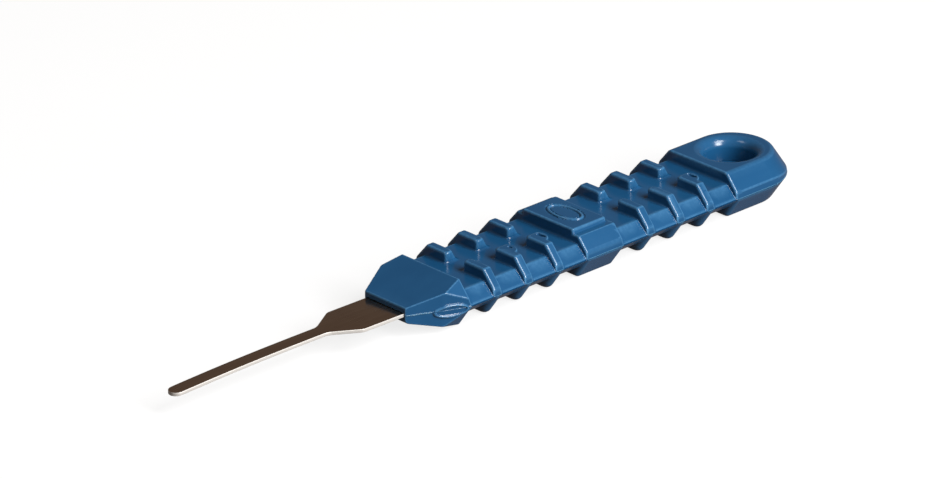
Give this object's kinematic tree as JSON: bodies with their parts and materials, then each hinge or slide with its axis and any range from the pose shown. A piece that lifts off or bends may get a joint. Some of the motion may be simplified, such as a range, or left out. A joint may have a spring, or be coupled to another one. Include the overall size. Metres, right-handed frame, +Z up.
{
  "type": "spudger",
  "caption": "Thin steel prying blade with a rounded tip, held in a two-shell ribbed plastic handle with a raised centre pad and a hanging hole.",
  "frame": {"origin": "centre of the whole tool's footprint, on the plane that the lower shell's flat crests rest on", "axes": "+X along the tool from the blade's tip to the hanging hole, +Y across the handle, +Z up out of the upper shell"},
  "size_m": [0.1596, 0.022, 0.0101],
  "materials": {
    "blade_steel": "bright spring steel strip, flat faces dark in reflection, pale sheared edges",
    "handle_plastic": "semi-gloss moulded plastic, deep blue, soft highlights on rounded edges"
  },
  "bodies": {
    "root": {"blade": "blade_steel", "upper_handle_shell": "handle_plastic", "lower_handle_shell": "handle_plastic"}
  },
  "joints": []
}
